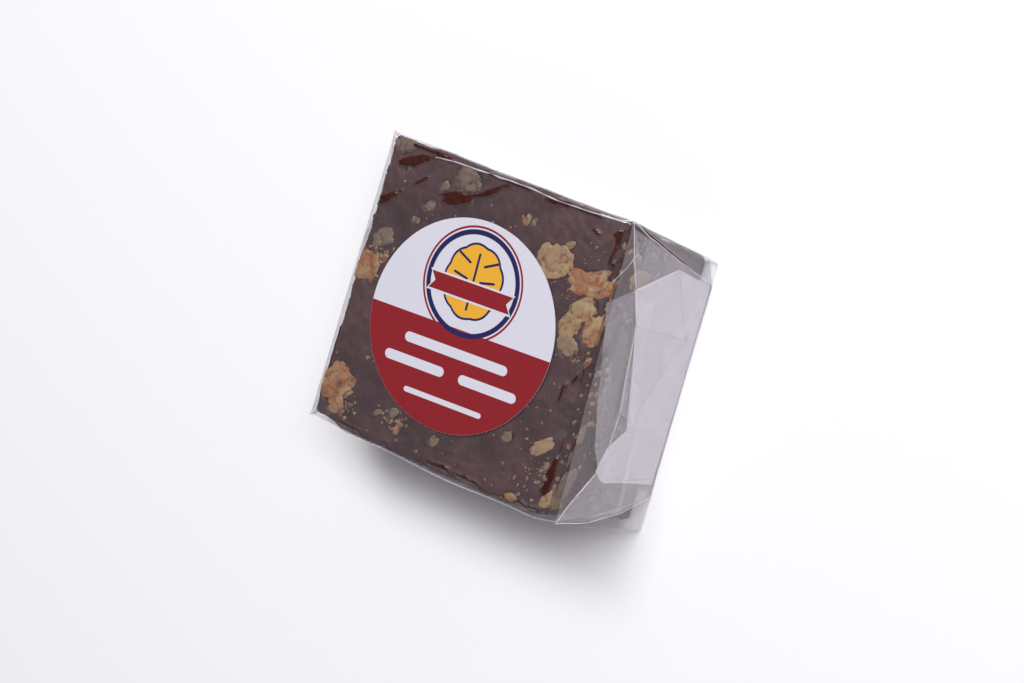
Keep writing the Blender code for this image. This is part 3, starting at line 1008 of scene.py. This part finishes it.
def makePrintMaterial(name, colour, roughness):
    material, graph, shader, output = newMaterial(name)
    grain = graph.group(grainGroup, 900.0, 5200.0).outputs
    tone = graph.mix(1.0, colour, graph.ramp(grain["Fine"], 0.2, 0.8, 0.94, 1.06), "MULTIPLY")
    graph.feed(shader.inputs["Base Color"], tone)
    graph.feed(shader.inputs["Roughness"],
               graph.ramp(grain["Coarse"], 0.3, 0.7, roughness - 0.06, roughness + 0.06))
    shader.inputs["Specular IOR Level"].default_value = 0.3
    graph.bump(shader, grain["Fine"], 0.12, 0.00004)
    return material


def addPlate(name, outline, low, high, material, holes=()):
    # a flat closed plate from an outline in the sticker's own turned frame
    turn = Matrix.Rotation(math.radians(sticker["tilt"]), 2)
    rings = [[turn @ Vector(p) for p in ring] for ring in (outline, *holes)]
    flatPoints = [p for ring in rings for p in ring]
    tris = geometry.tessellate_polygon([[p.to_3d() for p in ring] for ring in rings])
    count = len(flatPoints)
    verts = [at(p.x, p.y, high) for p in flatPoints] + [at(p.x, p.y, low) for p in flatPoints]
    faces = [tuple(t) for t in tris] + [tuple(count + i for i in t[::-1]) for t in tris]
    first = 0
    for ring in rings:
        for i in range(len(ring)):
            a, b = first + i, first + (i + 1) % len(ring)
            faces.append((a, count + a, count + b, b))
        first += len(ring)
    piece = addMesh(name, verts, faces, material, smooth=False)
    fixer = bmesh.new()
    fixer.from_mesh(piece.data)
    bmesh.ops.recalc_face_normals(fixer, faces=fixer.faces[:])
    fixer.to_mesh(piece.data)
    fixer.free()
    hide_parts("label")


def arc(cx, cy, radius, start, end, steps):
    turns = [math.radians(mix(start, end, step / steps)) for step in range(steps + 1)]
    return [(cx + radius * math.cos(turn), cy + radius * math.sin(turn)) for turn in turns]


def circle(cx, cy, radius):
    return arc(cx, cy, radius, 0, 356, 89)


def roundedBar(cx, cy, length, height, angle=0.0):
    radius, half = height / 2, length / 2 - height / 2
    ring = arc(half, 0, radius, -90, 90, 10) + arc(-half, 0, radius, 90, 270, 10)
    turn = Matrix.Rotation(math.radians(angle), 2)
    return [tuple(turn @ Vector(p) + Vector((cx, cy))) for p in ring]


def makeSticker():
    white = makePrintMaterial("stickerWhite", stickerColours["white"], 0.42)
    red = makePrintMaterial("stickerRed", stickerColours["red"], 0.40)
    navy = makePrintMaterial("stickerNavy", stickerColours["navy"], 0.40)
    gold = makePrintMaterial("stickerGold", stickerColours["gold"], 0.40)
    low = filmTop + sticker["lift"]
    top = low + sticker["thickness"]
    ink = sticker["ink"]
    radius = sticker["radius"]
    addPlate("stickerPaper", arc(0, 0, radius, 0, 357.5, 143), low, top, white)
    dip = math.degrees(math.asin(sticker["chordDrop"] / radius))
    addPlate("stickerRedField", arc(0, 0, radius - 0.02, 180 - dip, 360 + dip, 90), top, top + ink, red)
    cx, cy = sticker["ringCentre"]
    ring = sticker["ringRadius"]
    inner = ring - sticker["innerGap"]
    addPlate("stickerRing", circle(cx, cy, ring), top, top + ink * 1.5, red,
             holes=[circle(cx, cy, ring - sticker["ringWidth"])])
    addPlate("stickerInnerRing", circle(cx, cy, inner), top, top + ink * 1.2, navy,
             holes=[circle(cx, cy, inner - sticker["innerWidth"])])
    # a plain walnut half: a scalloped kernel with a seam and rounded folds
    middle = cy + sticker["kernelUp"]
    for name, grow, height, look in (("KernelEdge", 0.45, 1.4, navy), ("Kernel", 0.0, 2.0, gold)):
        kernel = []
        for step in range(96):
            turn = 2 * math.pi * step / 96
            reach = sticker["kernel"] + grow
            reach += sticker["scallop"] * abs(math.sin(4.5 * turn)) - sticker["squash"] * math.cos(2 * turn)
            kernel.append((cx + reach * math.cos(turn), middle + reach * math.sin(turn)))
        addPlate("sticker" + name, kernel, top, top + ink * height, look)
    for side, letter in ((-1, "L"), (1, "R")):
        for row in range(3):
            lobe = roundedBar(cx + side * 3.1, cy + 4.6 - 3.6 * row, 3.6, 0.5, side * (26 - 14 * row))
            addPlate(f"stickerFold{letter}{row}", lobe, top, top + ink * 2.6, navy)
    addPlate("stickerSeam", roundedBar(cx, middle, 11.6, 0.5, 90), top, top + ink * 2.8, navy)
    # a plain ribbon across it
    for name, grow, height, look in (("RibbonEdge", 0.4, 3.2, white), ("Ribbon", 0.0, 3.8, red)):
        half, tall = 9.6 + grow, 1.7 + grow
        ribbon = [(-half, -tall), (half, -tall), (half - 1.2, 0),
                  (half, tall), (-half, tall), (-half + 1.2, 0)]
        ribbon = [(cx + x, cy - 1.6 + y) for x, y in ribbon]
        addPlate("sticker" + name, ribbon, top, top + ink * height, look)
    for letter, place in sticker["bars"].items():
        addPlate("stickerBar" + letter, roundedBar(*place), top, top + ink * 2, white)


print("fudge")
makeFudge(makeFudgeMaterial())
print("walnuts")
nutMaterial = makeNutMaterial()
makeNuts(nutMaterial)
makeCrumbs(nutMaterial)
print("film")
filmMaterial = makeFilmMaterial("clearFilm", 0.004, 0.07, 0.20)
endFilms = dict(
    clear=makeFilmMaterial("foldedFilm", 0.020, 0.10, 0.30),
    faint=makeFilmMaterial("faintFilm", 0.035, 0.12, 0.30),
    veil=makeFilmMaterial("veiledFilm", 0.095, 0.14, 0.35),
    white=makeFilmMaterial("whitenedFilm", 0.62, 0.16, 0.40),
)
# white haze on the creases and fold lines: painted highlight on real ridges
foldHighlightFilm = makeFilmMaterial("foldLinePaintedHighlight", 0.34, 0.10, 0.20)
makeFilmTube(filmMaterial)
makeEnd("looseEnd", looseEnd, endFilms)
makeEnd("tightEnd", tightEnd, endFilms)
# the far top crease wears the white fold film as a painted highlight
makeCrease(foldHighlightFilm)
makeSeam(endFilms["veil"])
makeFoldLines("looseEndFolds", looseEnd, foldHighlightFilm)
makeFoldLines("tightEndFolds", tightEnd, foldHighlightFilm)
makeEars("looseEnd", looseEnd, filmMaterial)
makeEars("tightEnd", tightEnd, filmMaterial)
print("sticker")
makeSticker()

print("studio")
studio = dict(
    floorSize=6.0, floorColour=(0.90, 0.90, 0.905), worldColour=(0.95, 0.90, 1.0), worldStrength=0.25,
)
keyLight = dict(direction=(0.14, 0.46, 0.87), distance=1.1, size=(1.25, 0.34), power=14.2)
lens = dict(length=105.47, distance=0.5769, azimuth=19.8, elevation=59.2, aim=(11.7, 1.1, 26.0))


def makeFloor():
    half, z = studio["floorSize"] / 2, packLow.z - 0.00002
    data = bpy.data.meshes.new("floor")
    corners = [(-half, -half, z), (half, -half, z), (half, half, z), (-half, half, z)]
    data.from_pydata(corners, [], [(0, 1, 2, 3)])
    material, graph, shader, output = newMaterial("paleFloor")
    shader.inputs["Base Color"].default_value = (*studio["floorColour"], 1)
    shader.inputs["Roughness"].default_value = 0.9
    shader.inputs["Specular IOR Level"].default_value = 0.0
    data.materials.append(material)
    floor = bpy.data.objects.new("floor", data)
    bpy.context.scene.collection.objects.link(floor)


def addSoftbox(name, light):
    data = bpy.data.lights.new(name, "AREA")
    data.shape = "RECTANGLE"
    data.size, data.size_y = light["size"]
    data.energy = light["power"]
    lamp = bpy.data.objects.new(name, data)
    lamp.location = Vector(light["direction"]).normalized() * light["distance"]
    lamp.rotation_euler = Vector(light["direction"]).to_track_quat("Z", "Y").to_euler()
    bpy.context.scene.collection.objects.link(lamp)


def makeCamera():
    azimuth, elevation = math.radians(lens["azimuth"]), math.radians(lens["elevation"])
    away = Vector((math.cos(azimuth) * math.cos(elevation), math.sin(azimuth) * math.cos(elevation),
                   math.sin(elevation)))
    up = Vector((-math.sin(azimuth), math.cos(azimuth), 0))
    right = up.cross(away)
    data = bpy.data.cameras.new("view")
    data.lens = lens["length"]
    data.clip_start = 0.01
    camera = bpy.data.objects.new("view", data)
    turn = Matrix((right, up, away)).transposed().to_4x4()
    camera.matrix_world = Matrix.Translation(at(*lens["aim"]) + away * lens["distance"]) @ turn
    bpy.context.scene.collection.objects.link(camera)
    bpy.context.scene.camera = camera


makeFloor()
addSoftbox("keyLight", keyLight)
makeCamera()
world = bpy.data.worlds.new("studio")
world.use_nodes = True
world.node_tree.nodes["Background"].inputs["Color"].default_value = (*studio["worldColour"], 1)
world.node_tree.nodes["Background"].inputs["Strength"].default_value = studio["worldStrength"]
scene = bpy.context.scene
scene.world = world
scene.view_settings.view_transform = "Standard"
scene.cycles.transparent_max_bounces = 48
scene.cycles.glossy_bounces = 8
scene.cycles.max_bounces = 16

bpy.context.view_layer.update()
